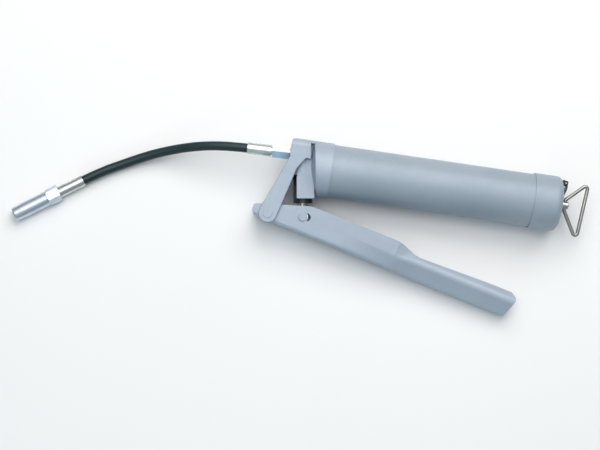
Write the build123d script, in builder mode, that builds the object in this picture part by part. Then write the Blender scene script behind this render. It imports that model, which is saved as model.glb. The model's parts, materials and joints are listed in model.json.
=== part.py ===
"""A hand-lever grease gun lying on its side: barrel, cast head, pump, lever, hose and coupler.

The gun's own frame GUN has its X along the barrel towards the pull loop, its Y away from the
lever, and its zero point on the barrel's axis at the rear edge of the head's collar. The gun lies
on a floor at Z = 0, rolled about its barrel so that collar, end cap and handle all touch it.
All sizes are in millimetres, all angles in degrees.
"""

from build123d import *
from math import asin, cos, degrees, pi, radians, sin, tan
import os

# ---- Driving dimensions ------------------------------------------------------------------------

BARREL_R = 28.5             # a tube for a 400 g cartridge
BARREL_WALL = 1.2
BARREL_FRONT = -7.2
BARREL_REAR = 240.5
COLLAR_R = 29.8             # the head's collar and the end cap, over the barrel
SHOULDER = -9.0             # the collar's inner end wall
CAP_FRONT = 218.0
CAP_REAR = 249.0
CAP_WALL = 1.4
SLIP = 0.1                  # radial room between parts that slide together

HEAD_X, HEAD_Y = -32.7, 13.3        # where the pump's axis meets the outlet's axis
PUMP_TILT = 8.3
OUTLET_TILT = 1.6
HEAD_HALF = 19.4            # half the head's width, over the fork's two ears
FORK_HALF = 15.4            # half the gap between the ears
EAR_R = 10.0
PUMP_R = 10.2
PUMP_BORE = 5.05
PUMP_TOP, PUMP_END = 8.0, 52.6      # distances down the pump's axis
PLUNGER_R = 5.0
PLUNGER_TIP = 22.0

PIVOT_OUT, PIVOT_DOWN = 37.4, 63.3  # the lever's pivot from the pump's axis and along it
PIVOT_R = 4.0
PIN_DOWN = 67.3             # the plunger's pin, down the pump's axis
PIN_R = 3.5
EYE_R = 5.9
EYE_HALF = 6.0

LEVER_REST = 13.5           # the lever's angle below the barrel at rest
LEVER_TIP = 282.3           # the handle's end, from the pivot
LEVER_HALF = 15.0           # half the width of the lever's channel
HANDLE_HALF = 13.5          # half the width of its handle
SHEET = 2.0
WEB_LEVEL = -7.5            # the outside of the channel's web, below the pivot
HANDLE_LEVEL = -9.3         # the same at the handle
HANDLE_CREST = 9.2          # where the handle is widest, above the pivot
BEND_START, RIM_START, BEND_END = 86.0, 143.0, 166.0    # where the web and then the rims turn in

NUT_START, NUT_END = 14.6, 32.8     # distances out along the outlet's axis
FERRULE_START, FERRULE_END = 34.5, 60.0
FERRULE_R = 6.2
HOSE_R = 5.0
HOSE_GRIP = 6.0             # how far the hose shows inside a ferrule's mouth
STEM_BORE = 1.8

COUPLER_R = 8.0
COUPLER_TURN = 35.46        # the coupler's direction on the floor
NOSE_X, NOSE_Y = -333.1, -93.9      # the coupler's nose, from the barrel's zero point
SLEEVE_LENGTH = 40.0
ADAPTER_LENGTH = 14.0
COUPLER_FERRULE = 29.0
MOUTH_R = 3.3

ROD_R = 4.0
FOLLOWER_FRONT = -2.0       # the front of the follower, at the end of its travel
ROD_REAR = 259.0
LOOP_X = 255.0              # the loop's cross hole in the rod
LOOP_HEEL = 5.5             # where the wire turns, each side of the rod
WIRE_R = 2.0
WIRE_BEND = 2.6
LATCH_X, LATCH_Y = 252.1, 23.3      # the latch's pin

SPRING_WIRE = 1.3
SPRING_R = 22.0
SPRING_TURNS = 13.5

AXIS_X, AXIS_Y = -93.05, 48.197       # the barrel's zero point, from the middle of the gun

# ---- Frames ------------------------------------------------------------------------------------

lever_rest = radians(LEVER_REST)
pump_tilt = radians(PUMP_TILT)
PIVOT_X = HEAD_X - PIVOT_OUT * cos(pump_tilt) + PIVOT_DOWN * sin(pump_tilt)
PIVOT_Y = HEAD_Y - PIVOT_OUT * sin(pump_tilt) - PIVOT_DOWN * cos(pump_tilt)
HANDLE_DROP = LEVER_TIP * sin(lever_rest) - HANDLE_CREST * cos(lever_rest) - PIVOT_Y
ROLL = asin((COLLAR_R - HANDLE_HALF) / HANDLE_DROP)

GUN = Plane(origin=(AXIS_X, AXIS_Y, COLLAR_R), x_dir=(1, 0, 0), z_dir=(0, -sin(ROLL), cos(ROLL)))


def place(x, y, turn=0.0, lift=0.0):
    """A plane at (x, y) of the gun, raised by lift across it and turned in it."""
    return Plane(GUN.location * Location((x, y, lift), (0, 0, turn)))


def crosswise(plane, distance):
    """The plane across another's X axis, so that its own X and Y are the other's Y and Z."""
    origin = plane.from_local_coords((distance, 0, 0))
    return Plane(origin=origin, x_dir=plane.y_dir, z_dir=plane.x_dir)


HEAD = place(HEAD_X, HEAD_Y, PUMP_TILT)
PUMP = place(HEAD_X, HEAD_Y, PUMP_TILT - 90)
OUTLET = place(HEAD_X, HEAD_Y, 180 + OUTLET_TILT)
LEVER = place(PIVOT_X, PIVOT_Y, -LEVER_REST)
COUPLER = Plane(
    origin=(AXIS_X + NOSE_X, AXIS_Y + NOSE_Y, COUPLER_R),
    x_dir=(cos(radians(COUPLER_TURN)), sin(radians(COUPLER_TURN)), 0),
    z_dir=(0, 0, 1),
)

# ---- Shapes that repeat ------------------------------------------------------------------------


def ring(plane, start, end, outer, inner=0.0, mode=Mode.ADD):
    """A straight ring about the plane's X axis, from start to end along it."""
    with BuildSketch(plane) as profile:
        with Locations(((start + end) / 2, (outer + inner) / 2)):
            Rectangle(end - start, outer - inner)
    revolve(profile.sketch, axis=Axis(plane.origin, plane.x_dir), mode=mode)


def turned(plane, *points, mode=Mode.ADD):
    """A closed outline of (distance, radius) points, turned about the plane's X axis."""
    with BuildSketch(plane) as profile:
        with BuildLine():
            Polyline(*points, close=True)
        make_face()
    revolve(profile.sketch, axis=Axis(plane.origin, plane.x_dir), mode=mode)


def hexagon(plane, start, end, across_flats, turn=0):
    """A hexagonal bar along the plane's X axis, with a corner towards the plane's Z, then turned."""
    with BuildSketch(crosswise(plane, start)) as profile:
        RegularPolygon(across_flats / 2, 6, major_radius=False, rotation=30 + turn)
    extrude(profile.sketch, amount=end - start)


def stud(x, y, bottom, top, radius, mode=Mode.ADD):
    """A round bar across the gun's side view, from bottom to top."""
    with BuildSketch(place(x, y, lift=bottom)) as profile:
        Circle(radius)
    extrude(profile.sketch, amount=top - bottom, mode=mode)


def collar(x, y, bottom, top, outer, inner):
    """A ring across the gun's side view, from bottom to top."""
    with BuildSketch(place(x, y, lift=bottom)) as profile:
        Circle(outer)
        Circle(inner, mode=Mode.SUBTRACT)
    extrude(profile.sketch, amount=top - bottom)


def coil(plane, start, end, radius, wire, turns):
    """A compression spring about the plane's X axis, between the wire's end centres."""
    centre = plane.from_local_coords((start, 0, 0))
    with BuildLine() as path:
        Helix((end - start) / turns, end - start, radius, center=centre, direction=plane.x_dir)
    with BuildSketch(Plane(origin=path.line @ 0, z_dir=path.line % 0)) as section:
        Circle(wire)
    sweep(section.sketch, path=path.line, is_frenet=True)


def finish(builder, name):
    """Label a finished piece and write it."""
    builder.part.label = name
    export_step(builder.part, f"parts/{name}.step")


os.makedirs("parts", exist_ok=True)

# ---- Barrel and end cap ------------------------------------------------------------------------

with BuildPart() as barrel_tube:
    ring(GUN, BARREL_FRONT, BARREL_REAR, BARREL_R, BARREL_R - BARREL_WALL)
finish(barrel_tube, "barrel_tube")

CAP_CORNER = 7.5
BUSH_R, BUSH_FLANGE, BUSH_LIP = 6.0, 8.0, 0.7


def cup(rim, face, radius, corner, mode):
    """A closed cup about the barrel's axis, from its rim to its face, with a rounded corner."""
    with BuildSketch(GUN) as profile:
        with BuildLine():
            Line((face, 0), (rim, 0))
            Line((rim, 0), (rim, radius))
            FilletPolyline((rim, radius), (face, radius), (face, 0), radius=corner)
        make_face()
    revolve(profile.sketch, axis=Axis(GUN.origin, GUN.x_dir), mode=mode)


with BuildPart() as end_cap:
    cup(CAP_FRONT, CAP_REAR, COLLAR_R, CAP_CORNER, Mode.ADD)
    cup(CAP_FRONT - 1, CAP_REAR - CAP_WALL, BARREL_R + SLIP, CAP_CORNER - CAP_WALL, Mode.SUBTRACT)
    ring(GUN, CAP_REAR - 2 * CAP_WALL, CAP_REAR + 1, BUSH_R, mode=Mode.SUBTRACT)
finish(end_cap, "end_cap")

with BuildPart() as rod_bush:
    ring(GUN, CAP_REAR - 7, CAP_REAR + BUSH_LIP, BUSH_R, ROD_R + SLIP)
    ring(GUN, CAP_REAR, CAP_REAR + BUSH_LIP, BUSH_FLANGE, ROD_R + SLIP)
    ring(GUN, CAP_REAR - 3, CAP_REAR - CAP_WALL, BUSH_FLANGE + 1, ROD_R + SLIP)
finish(rod_bush, "rod_bush")

# ---- Cast head ---------------------------------------------------------------------------------

BLOCK_FRONT, BLOCK_TOP, BLOCK_FOOT = -46.0, 29.2, 8.75
BLOCK_BACK, THROAT_BACK = 9.0, 14.0     # the throat between block and collar, from the pump's axis
THROAT_R = 12.5
TOP_RIB, TOP_RIB_HALF = 3.0, 11.0
THROAT_WEB_HALF = 4.0
SADDLE_LEFT, SADDLE_RIGHT, SADDLE_FOOT = -6.5, 12.2, -47.5
SADDLE_HALF = 12.5
ARM_SLOPE = Vector(-17.7, -43.55, 0).normalized()
OUTLET_BORE = 5.0
BLEED_X, BLEED_Y, BLEED_R = -34.0, 20.0, 3.0
PORT = place(-28, -14.4)                # the grease's way from the barrel to the pump
PORT_LENGTH, PORT_R = 20.0, 2.0
SIDE = Axis(GUN.origin, GUN.z_dir)

# The throat is a cone that opens into the collar, square to the pump rather than to the barrel.
THROAT = place(HEAD_X + HEAD_Y * tan(pump_tilt), 0, PUMP_TILT)


def block_back(y):
    """Where the block's back edge, parallel to the pump, is along the barrel at that y."""
    return HEAD_X + BLOCK_BACK / cos(pump_tilt) - (y - HEAD_Y) * tan(pump_tilt)


with BuildPart() as head_collar:
    ring(GUN, -40, 0, COLLAR_R)
    turned(THROAT, (BLOCK_BACK - 1, 0), (BLOCK_BACK - 1, THROAT_R), (BLOCK_BACK, THROAT_R),
           (THROAT_BACK, COLLAR_R + 1), (THROAT_BACK, 2 * COLLAR_R), (60, 2 * COLLAR_R), (60, 0),
           mode=Mode.INTERSECT)

with BuildPart() as head_casting:
    # The block and the fork's two arms, in one outline with a round end about the pivot.
    with BuildSketch(GUN) as fork:
        with BuildLine():
            ear = Vector(PIVOT_X, PIVOT_Y, 0)
            reach = Vector(-ARM_SLOPE.Y, ARM_SLOPE.X, 0) * EAR_R
            Polyline(
                ear - reach, (-49.4, -0.55), (BLOCK_FRONT, BLOCK_FOOT), (BLOCK_FRONT, BLOCK_TOP),
                (block_back(BLOCK_TOP), BLOCK_TOP), (block_back(BLOCK_FOOT), BLOCK_FOOT), (-28.6, 9.0),
                (-36.7, -3.1), ear + reach,
            )
            ThreePointArc(ear + reach, ear + ARM_SLOPE * EAR_R, ear - reach)
        make_face()
        fillet(fork.vertices().group_by(Axis.Y)[-1].sort_by(Axis.X)[0], 4.0)
    extrude(fork.sketch, amount=HEAD_HALF, both=True)
    flanks = head_casting.faces().filter_by(GeomType.PLANE).sort_by(SIDE)
    fillet(flanks[-1].edges() + flanks[0].edges(), 1.2)
    with BuildSketch(crosswise(GUN, -90)) as end_view:
        with Locations(((BLOCK_TOP - 100) / 2, 0)):
            Rectangle(BLOCK_TOP + 100, 2 * HEAD_HALF)
        fillet(end_view.vertices().group_by(Axis.X)[-1], 8.0)
    extrude(end_view.sketch, amount=80, mode=Mode.INTERSECT)
    # The gap of the fork, open towards the barrel and closed by a web in front.
    with BuildSketch(GUN) as gap:
        with BuildLine():
            Polyline((-43, 3), (-44, -0.5), (-53, -22.6), (-66, -26), (-80, -40), (-80, -75), (-20, -75),
                     (-20, 3), close=True)
        make_face()
        fillet(gap.vertices().sort_by(Axis.Y)[-2:].sort_by(Axis.X)[0], 1.5)
    extrude(gap.sketch, amount=FORK_HALF, both=True, mode=Mode.SUBTRACT)
    # The collar that takes the barrel, a rib and a web over the throat, and the pump's saddle and boss.
    add(head_collar.part)
    for foot, half in ((BLOCK_TOP - TOP_RIB, TOP_RIB_HALF), (0, THROAT_WEB_HALF)):
        with BuildSketch(GUN) as rib:
            with BuildLine():
                Polyline((block_back(foot) - 1, foot), (block_back(BLOCK_TOP) - 1, BLOCK_TOP),
                         (-15, BLOCK_TOP), (-15, foot), close=True)
            make_face()
        extrude(rib.sketch, amount=half, both=True)
    with BuildSketch(HEAD) as saddle:
        with BuildLine():
            Polyline((SADDLE_LEFT, SADDLE_FOOT), (SADDLE_LEFT, -24), (-2.5, -12.5), (6, -5.5),
                     (SADDLE_RIGHT, -3), (SADDLE_RIGHT, SADDLE_FOOT), close=True)
        make_face()
        fillet(saddle.vertices().group_by(Axis.Y)[0], 1.0)
        fillet(saddle.vertices().sort_by(Axis.Y)[4:6], 12.0)
    extrude(saddle.sketch, amount=SADDLE_HALF, both=True)
    ring(PUMP, 0, 22, 13.0)
    # The barrel's seat, the pump's bore, the passages, and the threaded holes.
    ring(GUN, SHOULDER, 1, BARREL_R + SLIP, mode=Mode.SUBTRACT)
    ring(PUMP, PUMP_TOP, PUMP_END + 5, PUMP_R, mode=Mode.SUBTRACT)
    ring(PUMP, -1, PUMP_TOP, 2.5, mode=Mode.SUBTRACT)
    ring(OUTLET, -2, 3, 2.5, mode=Mode.SUBTRACT)
    ring(OUTLET, 3, NUT_START + 3, OUTLET_BORE, mode=Mode.SUBTRACT)
    stud(PIVOT_X, PIVOT_Y, -HEAD_HALF - 1, HEAD_HALF + 1, PIVOT_R, mode=Mode.SUBTRACT)
    stud(BLEED_X, BLEED_Y, -HEAD_HALF - 1, -10, BLEED_R, mode=Mode.SUBTRACT)
    ring(PORT, 0, PORT_LENGTH, PORT_R, mode=Mode.SUBTRACT)
finish(head_casting, "head_casting")

with BuildPart() as head_gasket:
    ring(GUN, SHOULDER, BARREL_FRONT, BARREL_R - 0.1, 24.5)
finish(head_gasket, "head_gasket")

with BuildPart() as bleed_screw:
    stud(BLEED_X, BLEED_Y, -HEAD_HALF, -10.5, BLEED_R)
    with BuildSketch(place(BLEED_X, BLEED_Y, lift=-HEAD_HALF)) as bleed_head:
        RegularPolygon(BLEED_R + 1, 6, major_radius=False)
    extrude(bleed_head.sketch, amount=-3.2)
    stud(BLEED_X, BLEED_Y, -HEAD_HALF - 4.2, -HEAD_HALF - 3.2, BLEED_R - 0.4)
finish(bleed_screw, "bleed_screw")

# ---- Pump --------------------------------------------------------------------------------------

SEAL_TOP, SEAL_END, GLAND_END = 42.0, 46.0, 53.2
GLAND_R = 7.0

with BuildPart() as pump_cylinder:
    ring(PUMP, PUMP_TOP, PUMP_END, PUMP_R, PUMP_BORE)
    ring(PUMP, SEAL_TOP, PUMP_END, GLAND_R, mode=Mode.SUBTRACT)
    ring(PUMP, PUMP_TOP, PUMP_TOP + 2, PUMP_BORE, 2.5)
    ring(PORT, 0, PORT_LENGTH, PORT_R, mode=Mode.SUBTRACT)
    chamfer(pump_cylinder.edges().filter_by(GeomType.CIRCLE).sort_by(Axis(PUMP.origin, PUMP.x_dir))[-1],
            0.6)
finish(pump_cylinder, "pump_cylinder")

with BuildPart() as plunger_seal:
    ring(PUMP, SEAL_TOP, SEAL_END, GLAND_R - 0.05, PLUNGER_R + 0.02)
finish(plunger_seal, "plunger_seal")

with BuildPart() as gland_nut:
    ring(PUMP, SEAL_END, GLAND_END, GLAND_R - 0.05, PLUNGER_R + SLIP)
finish(gland_nut, "gland_nut")

with BuildPart() as plunger:
    ring(PUMP, PLUNGER_TIP, PIN_DOWN, PLUNGER_R)
    chamfer(plunger.edges().sort_by(Axis(PUMP.origin, PUMP.x_dir))[0], 0.5)
    pin_x = HEAD_X + PIN_DOWN * sin(pump_tilt)
    pin_y = HEAD_Y - PIN_DOWN * cos(pump_tilt)
    stud(pin_x, pin_y, -EYE_HALF, EYE_HALF, EYE_R)
    stud(pin_x, pin_y, -EYE_HALF - 1, EYE_HALF + 1, PIN_R, mode=Mode.SUBTRACT)
finish(plunger, "plunger")

PIN_HALF = LEVER_HALF + 2.4

with BuildPart() as plunger_pin:
    stud(pin_x, pin_y, -PIN_HALF, LEVER_HALF + 0.3, PIN_R)
    stud(pin_x, pin_y, LEVER_HALF + 0.3, LEVER_HALF + 1.6, 4.6)
    chamfer(plunger_pin.edges().sort_by(SIDE)[-1], 0.4)
finish(plunger_pin, "plunger_pin")

with BuildPart() as plunger_clip:
    collar(pin_x, pin_y, -LEVER_HALF - 1.4, -LEVER_HALF - 0.4, 5.2, PIN_R)
finish(plunger_clip, "plunger_clip")

with BuildPart() as plunger_spacers:
    for low in (EYE_HALF + 0.1, -LEVER_HALF + SHEET + 0.3):
        collar(pin_x, pin_y, low, low + LEVER_HALF - SHEET - EYE_HALF - 0.4, 5.4, PIN_R + 0.05)
finish(plunger_spacers, "plunger_spacers")

# ---- Outlet: check valve, fitting, ferrule ------------------------------------------------------

SEAT_START, SEAT_END = 3.0, 5.5
SEAT_HOLE = 1.8
BALL_R = 2.8
FITTING_START, POCKET_R, POCKET_END = 6.2, 3.4, 18.0
BALL_OUT = SEAT_END + (BALL_R**2 - SEAT_HOLE**2) ** 0.5 + 0.02

with BuildPart() as check_seat:
    ring(OUTLET, SEAT_START, SEAT_END, OUTLET_BORE, SEAT_HOLE)
finish(check_seat, "check_seat")

with BuildPart() as check_ball:
    with BuildSketch(place(HEAD_X, HEAD_Y, 180 + OUTLET_TILT)) as half_disc:
        with BuildLine():
            ball_centre = Vector(BALL_OUT, 0, 0)
            across_ball = Vector(BALL_R, 0, 0)
            CenterArc(ball_centre, BALL_R, 0, 180)
            Line(ball_centre - across_ball, ball_centre + across_ball)
        make_face()
    revolve(half_disc.sketch, axis=Axis(OUTLET.origin, OUTLET.x_dir))
finish(check_ball, "check_ball")

with BuildPart() as check_spring:
    coil(OUTLET, BALL_OUT + BALL_R + 0.35, POCKET_END - 0.35, 2.4, 0.3, 5)
finish(check_spring, "check_spring")

with BuildPart() as outlet_fitting:
    ring(OUTLET, FITTING_START, NUT_START, OUTLET_BORE)
    hexagon(OUTLET, NUT_START, NUT_END, 13.5)
    ring(OUTLET, NUT_END, FERRULE_START, 4.5)
    ring(OUTLET, FITTING_START - 1, POCKET_END, POCKET_R, mode=Mode.SUBTRACT)
    ring(OUTLET, POCKET_END, FERRULE_START + 1, STEM_BORE, mode=Mode.SUBTRACT)
finish(outlet_fitting, "outlet_fitting")


def ferrule(plane, start, end):
    """A crimped ferrule: a thick neck, three shallow crimp grooves, and the hose's mouth."""
    ring(plane, start, end, FERRULE_R, STEM_BORE)
    ring(plane, end - HOSE_GRIP, end + 1, HOSE_R, mode=Mode.SUBTRACT)
    for groove in range(3):
        middle = start + (end - start) * (0.4 + 0.17 * groove)
        ring(plane, middle - 1, middle + 1, FERRULE_R + 1, FERRULE_R - 0.5, mode=Mode.SUBTRACT)


with BuildPart() as rear_ferrule:
    ferrule(OUTLET, FERRULE_START, FERRULE_END)
finish(rear_ferrule, "rear_ferrule")

# ---- Hose --------------------------------------------------------------------------------------

COUPLER_BACK = SLEEVE_LENGTH + ADAPTER_LENGTH + COUPLER_FERRULE
HOSE_LEAD = 25.0            # the straight lead out of each ferrule
HOSE_ROUTE = [              # from the barrel's zero point along and across, and above the floor
    (-142.0, 8.0, 26.0),
    (-172.0, 1.7, 15.5),
    (-200.0, -8.2, 9.2),
    (-228.0, -22.4, 6.8),
]
hose_start = OUTLET.from_local_coords((FERRULE_END - HOSE_GRIP, 0, 0))
hose_end = COUPLER.from_local_coords((COUPLER_BACK - HOSE_GRIP, 0, 0))
hose_near_start = OUTLET.from_local_coords((FERRULE_END - HOSE_GRIP + HOSE_LEAD, 0, 0))
hose_near_end = COUPLER.from_local_coords((COUPLER_BACK - HOSE_GRIP + HOSE_LEAD, 0, 0))
route = [hose_start, hose_near_start]
route += [Vector(AXIS_X + x, AXIS_Y + y, z) for x, y, z in HOSE_ROUTE]
route += [hose_near_end, hose_end]
runs = [b - a for a, b in zip(route, route[1:])]
bend_radii = [
    0.45 * min(a.length, b.length) / tan(radians(a.get_angle(b)) / 2) for a, b in zip(runs, runs[1:])
]

with BuildPart() as hose:
    with BuildLine() as hose_line:
        FilletPolyline(*route, radius=bend_radii)
    with BuildSketch(Plane(origin=hose_start, z_dir=runs[0])) as hose_section:
        Circle(HOSE_R)
    sweep(hose_section.sketch, path=hose_line.line)
finish(hose, "hose")
hose_length = hose_line.wires()[0].length
print("hose route:", [tuple(round(value, 2) for value in point) for point in route])
print("hose radii:", [round(radius) for radius in bend_radii], "length", round(hose_length, 1))
print("hose volume over section times length:",
      round(hose.part.volume / (pi * HOSE_R**2 * hose_length), 4))

# ---- Coupler -----------------------------------------------------------------------------------

JAWS_R, JAWS_START, JAWS_END = 6.0, 0.6, 14.0
SEAL_START, SEAL_BACK = 16.2, 18.6
SOCKET_R = 6.2
SPIGOT_START = 24.0

with BuildPart() as front_ferrule:
    ferrule(COUPLER, COUPLER_BACK - COUPLER_FERRULE, COUPLER_BACK)
finish(front_ferrule, "front_ferrule")

with BuildPart() as coupler_adapter:
    ring(COUPLER, SPIGOT_START, SLEEVE_LENGTH, SOCKET_R - 0.02)
    hexagon(COUPLER, SLEEVE_LENGTH, SLEEVE_LENGTH + ADAPTER_LENGTH, 2 * COUPLER_R, turn=30)
    ring(COUPLER, SPIGOT_START - 1, SLEEVE_LENGTH + ADAPTER_LENGTH + 1, STEM_BORE, mode=Mode.SUBTRACT)
    turned(COUPLER, (SLEEVE_LENGTH, 8.3), (SLEEVE_LENGTH, 10), (SLEEVE_LENGTH + 2, 10),
           (SLEEVE_LENGTH + 1, 9.2), mode=Mode.SUBTRACT)
finish(coupler_adapter, "coupler_adapter")

with BuildPart() as coupler_sleeve:
    turned(COUPLER, (0, 6.1), (0, 6.9), (1.2, 7.6), (10, COUPLER_R), (SLEEVE_LENGTH - 1, COUPLER_R),
           (SLEEVE_LENGTH, 7.4), (SLEEVE_LENGTH, SOCKET_R), (1.5, SOCKET_R))
finish(coupler_sleeve, "coupler_sleeve")

with BuildPart() as coupler_jaws:
    ring(COUPLER, JAWS_START, JAWS_END, JAWS_R, MOUTH_R)
    for turn in (45, 135):
        with BuildSketch(crosswise(COUPLER, JAWS_START - 1)) as slit:
            Rectangle(4 * COUPLER_R, 0.8, rotation=turn)
        extrude(slit.sketch, amount=JAWS_END - JAWS_START + 2, mode=Mode.SUBTRACT)
finish(coupler_jaws, "coupler_jaws")

with BuildPart() as jaw_ring:
    ring(COUPLER, JAWS_END, JAWS_END + 0.8, JAWS_R, MOUTH_R)
finish(jaw_ring, "jaw_ring")

with BuildPart() as coupler_seal:
    ring(COUPLER, SEAL_START, SEAL_BACK, 3.4, 1.2)
    ring(COUPLER, SEAL_BACK, SPIGOT_START, 3.0, 1.2)
finish(coupler_seal, "coupler_seal")

with BuildPart() as jaw_spring:
    coil(COUPLER, JAWS_END + 1.2, SPIGOT_START - 0.4, 5.0, 0.35, 4)
finish(jaw_spring, "jaw_spring")

# ---- Lever -------------------------------------------------------------------------------------


# Half sections of the bent sheet's outside, as (level above the pivot, half width) of the rim, the
# crest and the web, and the rounding of the crest and of the web's corner.
FLAT = ((40, LEVER_HALF - 0.2), (10, LEVER_HALF), (WEB_LEVEL, LEVER_HALF), 300, 4.0)
HALF_BENT = ((40, LEVER_HALF - 0.6), (7, LEVER_HALF), (-8.6, 9.0), 12, 6.0)
HANDLE = ((22, 3.7), (10.5, 15.2), (HANDLE_LEVEL, 4.5), 7, 5.5)


def channel(skin, mode):
    """The lever's sheet as a bar, drawn in by skin: a channel that bends into a hollow handle."""
    stations = ((-30, FLAT), (BEND_START, FLAT), (RIM_START, HALF_BENT), (BEND_END, HANDLE),
                (LEVER_TIP + 10, HANDLE))
    sections = []
    for distance, (rim, crest, web, crest_round, web_round) in stations:
        with BuildSketch(crosswise(LEVER, distance)) as section:
            with BuildLine():
                Polyline(rim, crest, web, (web[0], -web[1]), (crest[0], -crest[1]), (rim[0], -rim[1]),
                         close=True)
            make_face()
            fillet(section.vertices().group_by(Axis.X)[1], crest_round)
            fillet(section.vertices().group_by(Axis.X)[0], web_round)
            if skin:
                offset(amount=-skin, kind=Kind.INTERSECTION, mode=Mode.REPLACE)
        sections.append(section.sketch)
    for first, second in zip(sections, sections[1:]):
        loft([first, second], ruled=True, mode=mode)


# The lever from the side, along it and across it from the pivot, and the radius of each corner.
SIDE_VIEW = [(-8.4, -12), (-17.4, -3), (-17.4, 4.5), (40.6, 24), (143, 24.4), (166, 15.8), (250, 18.3),
             (275, 18.3), (LEVER_TIP, 13), (275, -12)]
SIDE_RADII = [0.5, 3.5, 3.0, 14.0, 40.0, 30.0, 60.0, 4.0, 5.0, 0.5]
SLOT_NEAR, SLOT_FAR, SLOT_WIDTH = 37.2, 41.9, 8.4
PIVOT_HEAD = 5.2

with BuildPart() as lever:
    channel(0, Mode.ADD)
    channel(SHEET, Mode.SUBTRACT)
    with BuildSketch(LEVER) as side_view:
        with BuildLine():
            Polyline(*SIDE_VIEW, close=True)
        make_face()
        for corner, radius in zip(SIDE_VIEW, SIDE_RADII):
            fillet(side_view.vertices().sort_by_distance((*corner, 0))[0], radius)
    extrude(side_view.sketch, amount=LEVER_HALF + 5, both=True, mode=Mode.INTERSECT)
    stud(PIVOT_X, PIVOT_Y, -LEVER_HALF - 1, LEVER_HALF + 1, PIVOT_R + SLIP, mode=Mode.SUBTRACT)
    # The slots in which the plunger's pin slides as the lever swings.
    pin_reach = Vector(pin_x - PIVOT_X, pin_y - PIVOT_Y)
    with BuildSketch(place(PIVOT_X, PIVOT_Y, degrees(asin(pin_reach.Y / pin_reach.length)))) as slot:
        with Locations(((SLOT_NEAR + SLOT_FAR) / 2, 0)):
            SlotCenterToCenter(SLOT_FAR - SLOT_NEAR, SLOT_WIDTH)
    extrude(slot.sketch, amount=LEVER_HALF + 1, both=True, mode=Mode.SUBTRACT)
finish(lever, "lever")

with BuildPart() as pivot_spacer:
    inside = LEVER_HALF - SHEET - 0.6
    collar(PIVOT_X, PIVOT_Y, -inside, inside, 4.9, PIVOT_R + SLIP)
finish(pivot_spacer, "pivot_spacer")

with BuildPart() as pivot_pin:
    stud(PIVOT_X, PIVOT_Y, -HEAD_HALF - 1.2, HEAD_HALF, PIVOT_R)
    stud(PIVOT_X, PIVOT_Y, HEAD_HALF, HEAD_HALF + 0.7, PIVOT_HEAD)
    fillet(pivot_pin.edges().sort_by(SIDE)[-1], 0.5)
finish(pivot_pin, "pivot_pin")

with BuildPart() as pivot_clip:
    collar(PIVOT_X, PIVOT_Y, -HEAD_HALF - 0.9, -HEAD_HALF, PIVOT_HEAD + 0.8, PIVOT_R)
finish(pivot_clip, "pivot_clip")

# ---- Follower, rod and main spring ---------------------------------------------------------------

CUP_R, CUP_LINING = 27.1, 25.3
PLATE_BACK = FOLLOWER_FRONT + 2.0
CUP_BACK = PLATE_BACK + 3.5
CUP_REAR = PLATE_BACK + 15.0
GUIDE_BACK = CUP_BACK + 2.0
GUIDE_REAR = PLATE_BACK + 31.0
GUIDE_R = 6.5
CLIP_THICK = 1.2
NUT_THICK = 2.9
ROD_FRONT = FOLLOWER_FRONT - NUT_THICK - 0.1

with BuildPart() as follower_plate:
    ring(GUN, FOLLOWER_FRONT, PLATE_BACK, 22.0, ROD_R + SLIP)
finish(follower_plate, "follower_plate")

with BuildPart() as follower_cup:
    turned(GUN, (PLATE_BACK, ROD_R + SLIP), (PLATE_BACK, CUP_R - 1.6), (PLATE_BACK + 1, CUP_R),
           (CUP_REAR, CUP_R), (CUP_REAR, CUP_LINING), (CUP_BACK, CUP_LINING), (CUP_BACK, ROD_R + SLIP))
finish(follower_cup, "follower_cup")

with BuildPart() as follower_guide:
    ring(GUN, CUP_BACK, GUIDE_BACK, CUP_LINING - 0.1, ROD_R + SLIP)
    ring(GUN, GUIDE_BACK, GUIDE_REAR, GUIDE_R, ROD_R + SLIP)
finish(follower_guide, "follower_guide")

with BuildPart() as rod_nut:
    hexagon(GUN, ROD_FRONT, ROD_FRONT + NUT_THICK, 13)
    ring(GUN, ROD_FRONT - 1, FOLLOWER_FRONT, ROD_R, mode=Mode.SUBTRACT)
finish(rod_nut, "rod_nut")

with BuildPart() as rod_clip:
    ring(GUN, GUIDE_REAR + 0.2, GUIDE_REAR + 0.2 + CLIP_THICK, GUIDE_R, ROD_R)
finish(rod_clip, "rod_clip")

with BuildPart() as follower_rod:
    ring(GUN, ROD_FRONT, ROD_REAR, ROD_R)
    chamfer(follower_rod.edges().sort_by(Axis.X)[-1], 0.8)
    ring(place(LOOP_X, -10, 90), 0, 20, WIRE_R + 0.3, mode=Mode.SUBTRACT)
finish(follower_rod, "follower_rod")

with BuildPart() as main_spring:
    coil(GUN, GUIDE_BACK + SPRING_WIRE, CAP_REAR - CAP_WALL - SPRING_WIRE - 0.1, SPRING_R, SPRING_WIRE,
         SPRING_TURNS)
finish(main_spring, "main_spring")

# ---- Pull loop and rod latch ----------------------------------------------------------------------

LOOP_CORNERS = [(LOOP_X, LOOP_HEEL), (277.5, 27.0), (272.3, -36.5), (LOOP_X, -LOOP_HEEL)]

with BuildPart() as pull_loop:
    with BuildLine(GUN) as wire_line:
        FilletPolyline(*LOOP_CORNERS, radius=WIRE_BEND, close=True)
    with BuildSketch(Plane(origin=wire_line.line @ 0, z_dir=wire_line.line % 0)) as wire_section:
        Circle(WIRE_R)
    sweep(wire_section.sketch, path=wire_line.line)
finish(pull_loop, "pull_loop")

LATCH_HALF = 5.5
LATCH_THICK = 1.2
NOTCH_R = 4.35

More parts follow.
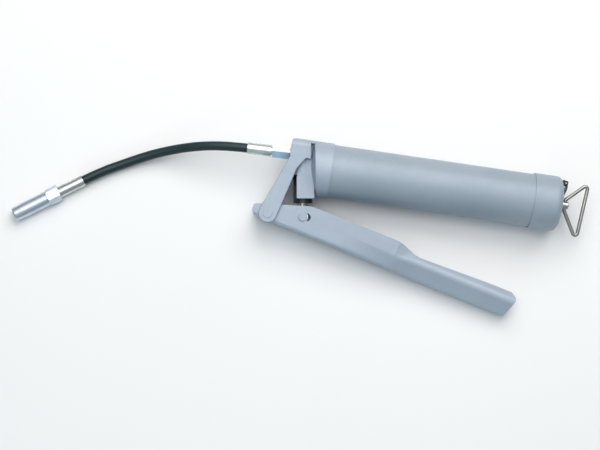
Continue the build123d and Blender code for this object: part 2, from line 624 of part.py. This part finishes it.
with BuildPart() as rod_latch:
    with BuildSketch(GUN) as strip:
        with BuildLine():
            Spline((LATCH_X + 1.4, LATCH_Y), (LATCH_X + 1.5, 17), (LATCH_X - 1.2, 8.5), (LATCH_X - 1.2, 0.5),
                   tangents=[(0.1, -1), (0, -1)])
        trace(line_width=LATCH_THICK)
    extrude(strip.sketch, amount=LATCH_HALF, both=True)
    stud(LATCH_X, LATCH_Y, -LATCH_HALF, LATCH_HALF, 1.9)
    ring(GUN, CAP_REAR, LATCH_X + 0.4, NOTCH_R, mode=Mode.SUBTRACT)
    stud(LATCH_X, LATCH_Y, -LATCH_HALF - 1, LATCH_HALF + 1, 1.1, mode=Mode.SUBTRACT)
finish(rod_latch, "rod_latch")

CHEEK_LOW, CHEEK_HIGH = LATCH_HALF + 0.4, LATCH_HALF + 1.6

with BuildPart() as latch_bracket:
    with BuildSketch(crosswise(GUN, CAP_REAR)) as foot:
        with Locations((LATCH_Y, 0)):
            Rectangle(6.5, 2 * CHEEK_HIGH + 7)
        fillet(foot.vertices(), 1.5)
    extrude(foot.sketch, amount=0.9)
    for low in (CHEEK_LOW, -CHEEK_HIGH):
        with BuildSketch(place(CAP_REAR, LATCH_Y, lift=low)) as cheek:
            with Locations((2.6, 0)):
                Rectangle(5.2, 5.2)
            fillet(cheek.vertices().group_by(Axis.X)[-1], 1.8)
        extrude(cheek.sketch, amount=CHEEK_HIGH - CHEEK_LOW)
    stud(LATCH_X, LATCH_Y, -CHEEK_HIGH - 1, CHEEK_HIGH + 1, 1.0, mode=Mode.SUBTRACT)
finish(latch_bracket, "latch_bracket")

with BuildPart() as latch_pin:
    stud(LATCH_X, LATCH_Y, -CHEEK_HIGH - 0.5, CHEEK_HIGH + 0.5, 1.0)
finish(latch_pin, "latch_pin")

with BuildPart() as latch_rivets:
    for side in (-1, 1):
        rivet = place(CAP_REAR, LATCH_Y, lift=side * (CHEEK_HIGH + 1.9))
        turned(rivet, (0.9, 0), (0.9, 1.5), (1.3, 1.3), (1.6, 0.8), (1.7, 0))
finish(latch_rivets, "latch_rivets")
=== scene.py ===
"""The looks of a hand-lever grease gun that lies on a pale floor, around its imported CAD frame."""

import json
import math

import bpy
from mathutils import Matrix, Vector


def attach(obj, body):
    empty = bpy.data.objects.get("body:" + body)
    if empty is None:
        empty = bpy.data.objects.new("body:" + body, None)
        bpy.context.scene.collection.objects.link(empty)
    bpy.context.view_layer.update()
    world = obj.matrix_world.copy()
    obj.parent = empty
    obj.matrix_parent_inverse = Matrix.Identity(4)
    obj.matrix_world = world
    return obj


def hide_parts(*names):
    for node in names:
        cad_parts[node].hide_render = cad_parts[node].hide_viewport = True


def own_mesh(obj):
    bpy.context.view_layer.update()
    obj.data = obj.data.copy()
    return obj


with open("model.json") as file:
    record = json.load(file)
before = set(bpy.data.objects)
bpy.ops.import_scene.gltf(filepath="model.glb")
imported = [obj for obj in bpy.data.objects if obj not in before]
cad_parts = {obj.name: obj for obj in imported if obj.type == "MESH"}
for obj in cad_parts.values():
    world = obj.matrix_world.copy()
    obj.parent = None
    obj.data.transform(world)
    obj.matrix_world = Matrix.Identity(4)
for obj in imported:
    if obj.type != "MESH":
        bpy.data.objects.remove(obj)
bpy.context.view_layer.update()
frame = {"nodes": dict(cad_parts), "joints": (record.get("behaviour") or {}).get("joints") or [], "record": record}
MM = 0.001

# ---- The gun's own frame: X along the barrel, Y away from the lever, Z across its side -----------

JOINTS = {joint["name"]: joint for joint in frame["joints"]}
AXIS_POINT = Vector(JOINTS["rod_spin"]["pos_m"])
ALONG = Vector((1, 0, 0))
ACROSS = Vector(JOINTS["loop_swing"]["axis"])
UPWARD = Vector(JOINTS["lever_swing"]["axis"])


def gun(x, y, z=0.0):
    """A point of the gun's own frame, in millimetres, as a point of the row."""
    return AXIS_POINT + (ALONG * x + ACROSS * y + UPWARD * z) * MM


# ---- Camera -------------------------------------------------------------------------------------

CAMERA_DISTANCE = 1.5
SENSOR_WIDTH = 36
FAR_CLIP = 20
VIEW_WIDTH = 0.648
CAMERA_ROLL = math.radians(8.3)
VIEW_CENTRE = gun(-24.7, -62.4)


def make_camera():
    """A long lens square above the gun's side, rolled so that the barrel falls to the right."""
    data = bpy.data.cameras.new("camera")
    data.sensor_width = SENSOR_WIDTH
    data.lens = data.sensor_width * CAMERA_DISTANCE / VIEW_WIDTH
    data.clip_end = FAR_CLIP
    camera = bpy.data.objects.new("camera", data)
    right = ALONG * math.cos(CAMERA_ROLL) + ACROSS * math.sin(CAMERA_ROLL)
    up = UPWARD.cross(right)
    turn = Matrix((right, up, UPWARD)).transposed().to_4x4()
    camera.matrix_world = Matrix.Translation(VIEW_CENTRE + UPWARD * CAMERA_DISTANCE) @ turn
    bpy.context.collection.objects.link(camera)
    bpy.context.scene.camera = camera


make_camera()

# ---- Hose ---------------------------------------------------------------------------------------

HOSE_DIAMETER = 0.010
HOSE_ROUTE = [
    (-0.17973, 0.05986, 0.03152),
    (-0.20472, 0.05917, 0.03142),
    (-0.23505, 0.05620, 0.02600),
    (-0.26505, 0.04990, 0.01550),
    (-0.29305, 0.04000, 0.00920),
    (-0.32105, 0.02580, 0.00680),
    (-0.34307, 0.01347, 0.00800),
    (-0.36343, -0.00103, 0.00800),
]


def make_hose():
    """The hose as one smooth curve from the rear ferrule's mouth to the front one's."""
    data = bpy.data.curves.new("hose_line", "CURVE")
    data.dimensions = "3D"
    data.bevel_depth = HOSE_DIAMETER / 2
    data.bevel_resolution = 8
    data.resolution_u = 24
    data.use_fill_caps = True
    spline = data.splines.new("NURBS")
    spline.points.add(len(HOSE_ROUTE) - 1)
    for point, place in zip(spline.points, HOSE_ROUTE):
        point.co = (*place, 1)
    spline.order_u = 3
    spline.use_endpoint_u = True
    piece = bpy.data.objects.new("hose_cover", data)
    bpy.context.collection.objects.link(piece)
    return piece


hose = make_hose()

# ---- Springs ------------------------------------------------------------------------------------

TURN_STEPS, WIRE_SIDES = 40, 10
MAIN_WIRE, MAIN_TURNS = 1.3 * MM, 13.5
JAW_WIRE, JAW_TURNS = 0.35 * MM, 4
SPRING_SLOT = "spring_steel"


def make_spring(name, stands_for, centre, joint, wire, turns):
    """A coil in place of a CAD spring, wound along the joint's axis over the spring's length."""
    way = Vector(JOINTS[joint]["axis"]).normalized()
    side = way.orthogonal().normalized()
    up = way.cross(side)
    solid = frame["nodes"][stands_for]
    offsets = [solid.matrix_world @ vertex.co - centre for vertex in solid.data.vertices]
    along = [offset.dot(way) for offset in offsets]
    radius = max(offset.cross(way).length for offset in offsets) - wire
    start, end = min(along) + wire, max(along) - wire
    # Rings of points along the coil.
    points = []
    steps = round(turns * TURN_STEPS)
    for step in range(steps + 1):
        angle = math.tau * step / TURN_STEPS
        outward = side * math.cos(angle) + up * math.sin(angle)
        middle = centre + way * (start + (end - start) * step / steps) + outward * radius
        for corner in range(WIRE_SIDES):
            turn = math.tau * corner / WIRE_SIDES
            points.append(middle + (outward * math.cos(turn) + way * math.sin(turn)) * wire)
    # The wire's skin between the rings, then its two ends.
    faces = [(ring + corner, ring + WIRE_SIDES + corner,
              ring + WIRE_SIDES + (corner + 1) % WIRE_SIDES, ring + (corner + 1) % WIRE_SIDES)
             for ring in range(0, steps * WIRE_SIDES, WIRE_SIDES) for corner in range(WIRE_SIDES)]
    faces.append(tuple(range(WIRE_SIDES)))
    faces.append(tuple(reversed(range(steps * WIRE_SIDES, (steps + 1) * WIRE_SIDES))))
    mesh = bpy.data.meshes.new(name)
    mesh.from_pydata(points, [], faces)
    mesh.shade_smooth()
    piece = bpy.data.objects.new(name, mesh)
    bpy.context.collection.objects.link(piece)
    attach(piece, "root")
    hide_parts(stands_for)
    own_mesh(piece)
    return piece


sleeve = frame["nodes"]["coupler_sleeve"]
sleeve_corners = [sleeve.matrix_world @ Vector(corner) for corner in sleeve.bound_box]
sleeve_centre = sum(sleeve_corners, Vector()) / len(sleeve_corners)
springs = {
    "main_spring": make_spring("main_coil", "main_spring", AXIS_POINT, "rod_slide", MAIN_WIRE, MAIN_TURNS),
    "jaw_spring": make_spring("jaw_coil", "jaw_spring", sleeve_centre, "jaw_slide", JAW_WIRE, JAW_TURNS),
}

# ---- Materials ----------------------------------------------------------------------------------


def node(tree, kind, inputs=None, **settings):
    """A new shader node, with settings, and inputs that are values or sockets to link."""
    made = tree.nodes.new(kind)
    for key, value in settings.items():
        setattr(made, key, value)
    for key, value in (inputs or {}).items():
        if isinstance(value, bpy.types.NodeSocket):
            tree.links.new(value, made.inputs[key])
        else:
            made.inputs[key].default_value = value
    return made


def start_material(name, **sockets):
    """A new material: its tree, its shader with those constant sockets, and object coordinates."""
    material = bpy.data.materials.new(name)
    material.use_nodes = True
    tree = material.node_tree
    tree.nodes.clear()
    output = node(tree, "ShaderNodeOutputMaterial")
    constants = {key.replace("_", " "): value for key, value in sockets.items()}
    shader = node(tree, "ShaderNodeBsdfPrincipled", constants)
    tree.links.new(shader.outputs["BSDF"], output.inputs["Surface"])
    place = node(tree, "ShaderNodeTexCoord").outputs["Object"]
    return material, tree, shader, place


def noise(tree, place, scale, detail=3.0, roughness=0.55):
    """A noise over the place, from 0 to 1."""
    made = node(tree, "ShaderNodeTexNoise",
                {"Vector": place, "Scale": scale, "Detail": detail, "Roughness": roughness})
    return made.outputs["Fac"]


def between(tree, factor, low, high, start=0.3, end=0.7):
    """A number that runs from low to high while the factor runs from start to end."""
    made = node(tree, "ShaderNodeMapRange",
                {"Value": factor, "From Min": start, "From Max": end, "To Min": low, "To Max": high})
    return made.outputs["Result"]


def mixed(tree, factor, first, second, blend="MIX"):
    """One colour or the other, by the factor."""
    made = node(tree, "ShaderNodeMix", data_type="RGBA", blend_type=blend)
    for key, value in ((0, factor), (6, first), (7, second)):
        if isinstance(value, bpy.types.NodeSocket):
            tree.links.new(value, made.inputs[key])
        else:
            made.inputs[key].default_value = value if key == 0 else (*value, 1)
    return made.outputs[2]


def bumped(tree, shader, height, distance, strength=1.0, under=None):
    """Bump the shader by a height, over another bump if there is one."""
    inputs = {"Height": height, "Distance": distance, "Strength": strength}
    if under is not None:
        inputs["Normal"] = under
    normal = node(tree, "ShaderNodeBump", inputs).outputs["Normal"]
    tree.links.new(normal, shader.inputs["Normal"])
    return normal


def hammered_paint(name, dark, light, dimple=0.00009, dimple_scale=420.0):
    """Silver-grey hammered enamel: shallow dimples, a fine metallic grain and faint stains."""
    material, tree, shader, place = start_material(
        name, Metallic=0.15, Coat_Weight=0.12, Coat_Roughness=0.32, Specular_IOR_Level=0.4)
    broad = noise(tree, place, 18, 5)
    grain = noise(tree, place, 2600, 2)
    tone = mixed(tree, between(tree, broad, 0, 1), dark, light)
    flecks = mixed(tree, between(tree, grain, 0, 1), (0.80, 0.82, 0.84), (1.12, 1.10, 1.08))
    colour = mixed(tree, 1.0, tone, flecks, "MULTIPLY")
    tree.links.new(colour, shader.inputs["Base Color"])
    tree.links.new(between(tree, noise(tree, place, 90, 4), 0.46, 0.60), shader.inputs["Roughness"])
    skin = bumped(tree, shader, noise(tree, place, dimple_scale, 2, 0.4), dimple)
    bumped(tree, shader, grain, 0.00001, 1.0, skin)
    return material


def turned_metal(name, colour, roughness, direction, line_scale=1400.0, depth=0.000012):
    """Plated metal turned on a lathe: fine lines round the direction, and faint tarnish."""
    material, tree, shader, place = start_material(name, Metallic=1.0)
    distance = node(tree, "ShaderNodeVectorMath", {0: place, 1: direction}, operation="DOT_PRODUCT")
    lines = node(tree, "ShaderNodeTexNoise", {"W": distance.outputs["Value"], "Scale": line_scale,
                                              "Detail": 3.0}, noise_dimensions="1D").outputs["Fac"]
    tarnish = noise(tree, place, 120, 4)
    darker = tuple(value * 0.86 for value in colour)
    tree.links.new(mixed(tree, between(tree, tarnish, 0, 1), darker, colour), shader.inputs["Base Color"])
    tree.links.new(between(tree, tarnish, roughness + 0.08, roughness), shader.inputs["Roughness"])
    bumped(tree, shader, lines, depth)
    return material


def plain_metal(name, dark, light, roughness, metallic=1.0, scale=160.0, depth=0.00002):
    """Metal with a patchy finish: colour, roughness and a light bump from noise."""
    material, tree, shader, place = start_material(name, Metallic=metallic)
    patches = noise(tree, place, scale, 5)
    tree.links.new(mixed(tree, between(tree, patches, 0, 1), dark, light), shader.inputs["Base Color"])
    tree.links.new(between(tree, noise(tree, place, scale * 3, 3), roughness - 0.06, roughness + 0.08),
                   shader.inputs["Roughness"])
    bumped(tree, shader, noise(tree, place, scale * 9, 2), depth)
    return material


def rubber(name, dark, light, roughness, depth=0.00003):
    """Black rubber: a dusty bloom and a fine moulded skin."""
    material, tree, shader, place = start_material(name, Metallic=0.0)
    bloom = noise(tree, place, 60, 5)
    tree.links.new(mixed(tree, between(tree, bloom, 0, 1), dark, light), shader.inputs["Base Color"])
    tree.links.new(between(tree, bloom, roughness - 0.06, roughness + 0.1), shader.inputs["Roughness"])
    bumped(tree, shader, noise(tree, place, 1500, 3), depth)
    return material


coupler_way = Vector(JOINTS["jaw_slide"]["axis"])

FINISHES = {
    "barrel_paint": hammered_paint("barrel_paint", (0.33, 0.40, 0.47), (0.37, 0.44, 0.51)),
    "head_paint": hammered_paint("head_paint", (0.38, 0.45, 0.54), (0.43, 0.50, 0.59), 0.00012, 300.0),
    "lever_paint": hammered_paint("lever_paint", (0.38, 0.45, 0.54), (0.43, 0.50, 0.59)),
    "pin_paint": hammered_paint("pin_paint", (0.38, 0.45, 0.54), (0.43, 0.50, 0.59)),
    "bright_zinc": turned_metal("bright_zinc", (0.66, 0.73, 0.84), 0.38, coupler_way),
    "satin_zinc": turned_metal("satin_zinc", (0.68, 0.71, 0.69), 0.32, coupler_way, 900.0),
    "zinc_plate": plain_metal("zinc_plate", (0.44, 0.46, 0.47), (0.58, 0.60, 0.61), 0.28),
    "plated_wire": plain_metal("plated_wire", (0.27, 0.27, 0.25), (0.42, 0.42, 0.40), 0.32, scale=90.0),
    "steel": plain_metal("steel", (0.34, 0.35, 0.36), (0.46, 0.47, 0.48), 0.26),
    "spring_steel": plain_metal("spring_steel", (0.20, 0.20, 0.21), (0.34, 0.34, 0.36), 0.34),
    # Dark steel with a teal cast; on the pump cylinder deep in the lever's fork its near-black is also painted
    # shade, standing in for the shadow there
    "blackened_steel": plain_metal("blackened_steel", (0.012, 0.019, 0.022), (0.03, 0.042, 0.046), 0.36,
                                   metallic=0.6),
    "brass": plain_metal("brass", (0.60, 0.46, 0.20), (0.78, 0.62, 0.32), 0.24),
    "black_rubber": rubber("black_rubber", (0.012, 0.012, 0.012), (0.024, 0.024, 0.024), 0.6),
    "hose_rubber": rubber("hose_rubber", (0.001, 0.017, 0.022), (0.002, 0.025, 0.032), 0.46),
}
SLOT_OF = {part["node"]: part["material_slot"] for part in frame["record"]["subparts"]}


def dress(piece, slot):
    """Give a piece one of the finishes."""
    piece.data.materials.clear()
    piece.data.materials.append(FINISHES[slot])


for name, part in frame["nodes"].items():
    dress(part, SLOT_OF[name])

for spring in springs.values():
    dress(spring, SPRING_SLOT)

dress(hose, "hose_rubber")
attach(hose, "root")
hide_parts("hose")

# ---- Floor and light ----------------------------------------------------------------------------

FLOOR_HALF = 6.0
PAPER_LOW, PAPER_HIGH = (0.90, 0.90, 0.90), (0.93, 0.93, 0.93)
# Each light's offset from the gun's middle, width, height, power and colour.
LIGHTS = {
    "key": ((0.15, 1.2, 1.4), 2.0, 1.1, 21, (1.0, 0.98, 0.95)),
    "top": ((-0.2, 0.25, 2.0), 1.6, 1.1, 17, (1, 1, 1)),
    "fill": ((-0.5, -1.7, 0.9), 1.4, 0.5, 3.5, (0.45, 0.85, 1.0)),
}
SKY_LOW, SKY_HIGH = (0.10, 0.17, 0.20), (0.95, 0.97, 1.0)
SKY_START, SKY_END = 0.15, 0.85     # the heights where the sky's colour starts and stops changing
SKY_STRENGTH = 0.45


def make_floor():
    """A wide pale floor at the height the gun lies on."""
    corners = [(FLOOR_HALF * x, FLOOR_HALF * y, 0) for x, y in ((-1, -1), (1, -1), (1, 1), (-1, 1))]
    mesh = bpy.data.meshes.new("floor")
    mesh.from_pydata(corners, [], [(0, 1, 2, 3)])
    floor = bpy.data.objects.new("floor", mesh)
    bpy.context.collection.objects.link(floor)
    material, tree, shader, place = start_material("floor_paper", Metallic=0.0, Roughness=0.8)
    tone = mixed(tree, noise(tree, place, 3, 3), PAPER_LOW, PAPER_HIGH)
    tree.links.new(tone, shader.inputs["Base Color"])
    mesh.materials.append(material)


def softbox(name, place, target, width, height, watts, colour):
    """A soft rectangular light that faces the target."""
    data = bpy.data.lights.new(name, "AREA")
    data.shape = "RECTANGLE"
    data.size, data.size_y = width, height
    data.energy = watts
    data.color = colour
    light = bpy.data.objects.new(name, data)
    light.matrix_world = (Matrix.Translation(place)
                          @ (target - place).to_track_quat("-Z", "Y").to_matrix().to_4x4())
    bpy.context.collection.objects.link(light)


def light_the_scene():
    """Soft studio light, most of it from beyond the barrel, under a sky that is dark low down."""
    middle = gun(0, -20)
    for name, (offset, width, height, watts, colour) in LIGHTS.items():
        softbox(name, middle + Vector(offset), middle, width, height, watts, colour)


def make_sky():
    """A pale zenith that falls to a dark teal near the floor, so that bright metal has contrast."""
    world = bpy.data.worlds.new("studio")
    world.use_nodes = True
    tree = world.node_tree
    direction = node(tree, "ShaderNodeTexCoord").outputs["Generated"]
    height = node(tree, "ShaderNodeSeparateXYZ", {"Vector": direction}).outputs["Z"]
    tone = mixed(tree, between(tree, height, 0, 1, SKY_START, SKY_END), SKY_LOW, SKY_HIGH)
    background = tree.nodes["Background"]
    tree.links.new(tone, background.inputs["Color"])
    background.inputs["Strength"].default_value = SKY_STRENGTH
    bpy.context.scene.world = world
    bpy.context.scene.view_settings.view_transform = "Standard"


make_floor()
light_the_scene()
make_sky()
